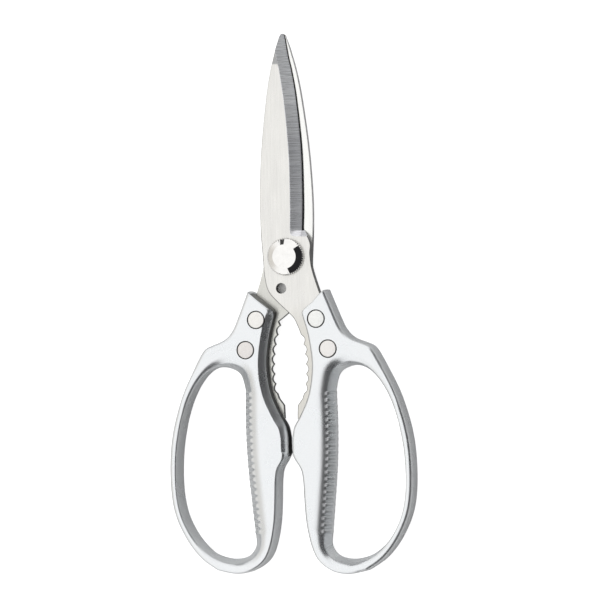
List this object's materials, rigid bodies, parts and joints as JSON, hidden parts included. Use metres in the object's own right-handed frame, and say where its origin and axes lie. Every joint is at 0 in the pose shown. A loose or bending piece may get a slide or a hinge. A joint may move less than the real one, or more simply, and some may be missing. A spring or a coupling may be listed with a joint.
{
  "type": "poultry shears",
  "caption": "All-metal poultry shears with long ground blades, a cone-headed pivot, toothed jaws on the tangs and riveted cast ring handles with ribbed grips.",
  "frame": {"origin": "pivot axis, on the flat end of the pivot bolt, level with the backs of both handles", "axes": "+X to the right handle's side seen from the front, +Y from the pivot to the blade tips, +Z out of the front face along the pivot axis"},
  "size_m": [0.1004, 0.2162, 0.0125],
  "materials": {
    "blade_steel": "satin stainless, lengthwise grain, with cross-ground bevels",
    "handle_casting": "fine satin, blasted",
    "rivet_steel": "matte, faced flush",
    "pivot_steel": "polished, with a knurled rim"
  },
  "bodies": {
    "back_half": {"back_blade": "blade_steel", "left_handle": "handle_casting", "left_upper_rivet_sleeve": "rivet_steel", "left_upper_rivet_pin": "rivet_steel", "left_lower_rivet_sleeve": "rivet_steel", "left_lower_rivet_pin": "rivet_steel", "pivot_bolt": "pivot_steel", "pivot_front_washer": "pivot_steel", "pivot_back_washer": "pivot_steel", "pivot_nut": "pivot_steel"},
    "front_half": {"front_blade": "blade_steel", "right_handle": "handle_casting", "right_upper_rivet_sleeve": "rivet_steel", "right_upper_rivet_pin": "rivet_steel", "right_lower_rivet_sleeve": "rivet_steel", "right_lower_rivet_pin": "rivet_steel"}
  },
  "joints": [
    {"name": "pivot_swing", "type": "hinge", "parent": "back_half", "child": "front_half", "pos_m": [0, 0, 0.006], "axis": [0, 0, 1], "range_deg": [0, 98]}
  ]
}
